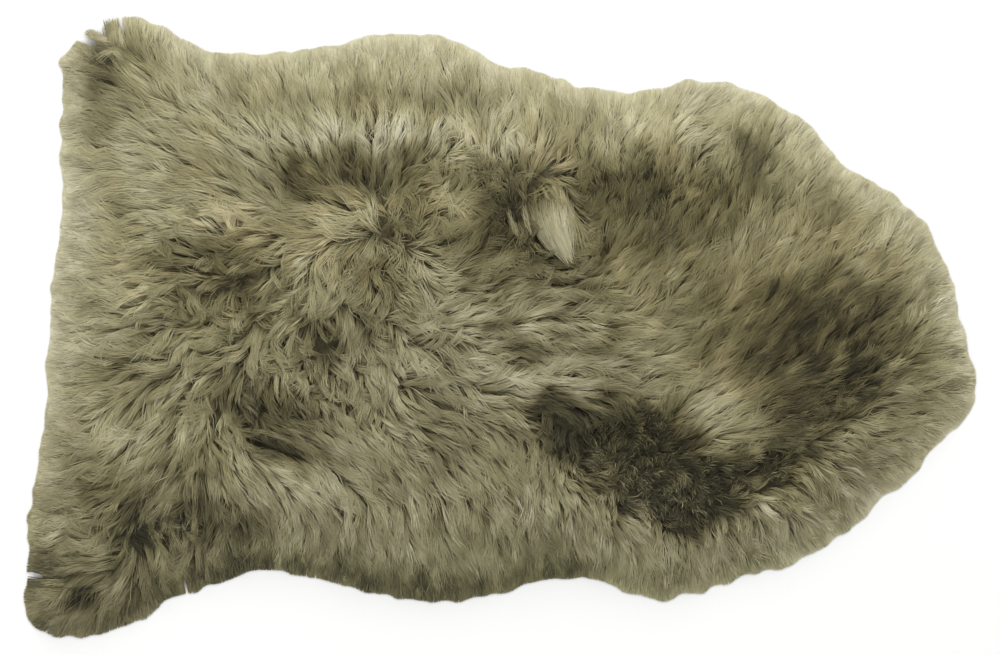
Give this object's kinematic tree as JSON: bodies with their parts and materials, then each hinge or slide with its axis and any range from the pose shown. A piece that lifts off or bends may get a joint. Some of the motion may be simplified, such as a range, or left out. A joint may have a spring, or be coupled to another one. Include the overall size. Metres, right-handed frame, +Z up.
{
  "type": "sheepskin rug",
  "caption": "Long-wool sheepskin rug in a pelt's natural outline, lying flat with its wool up and its skin side on the floor.",
  "frame": {"origin": "centre of the rug's box in plan, on the underside that lies on the floor", "axes": "+X along the pelt's long way, from its two flaps to its rounded end; +Z up, out of the wool"},
  "size_m": [0.9554, 0.6248, 0.0603],
  "materials": {
    "wool": "long soft wool, undyed olive taupe with paler tips",
    "skin": "tanned suede, matt"
  },
  "bodies": {
    "root": {"pelt": "wool"}
  },
  "joints": []
}
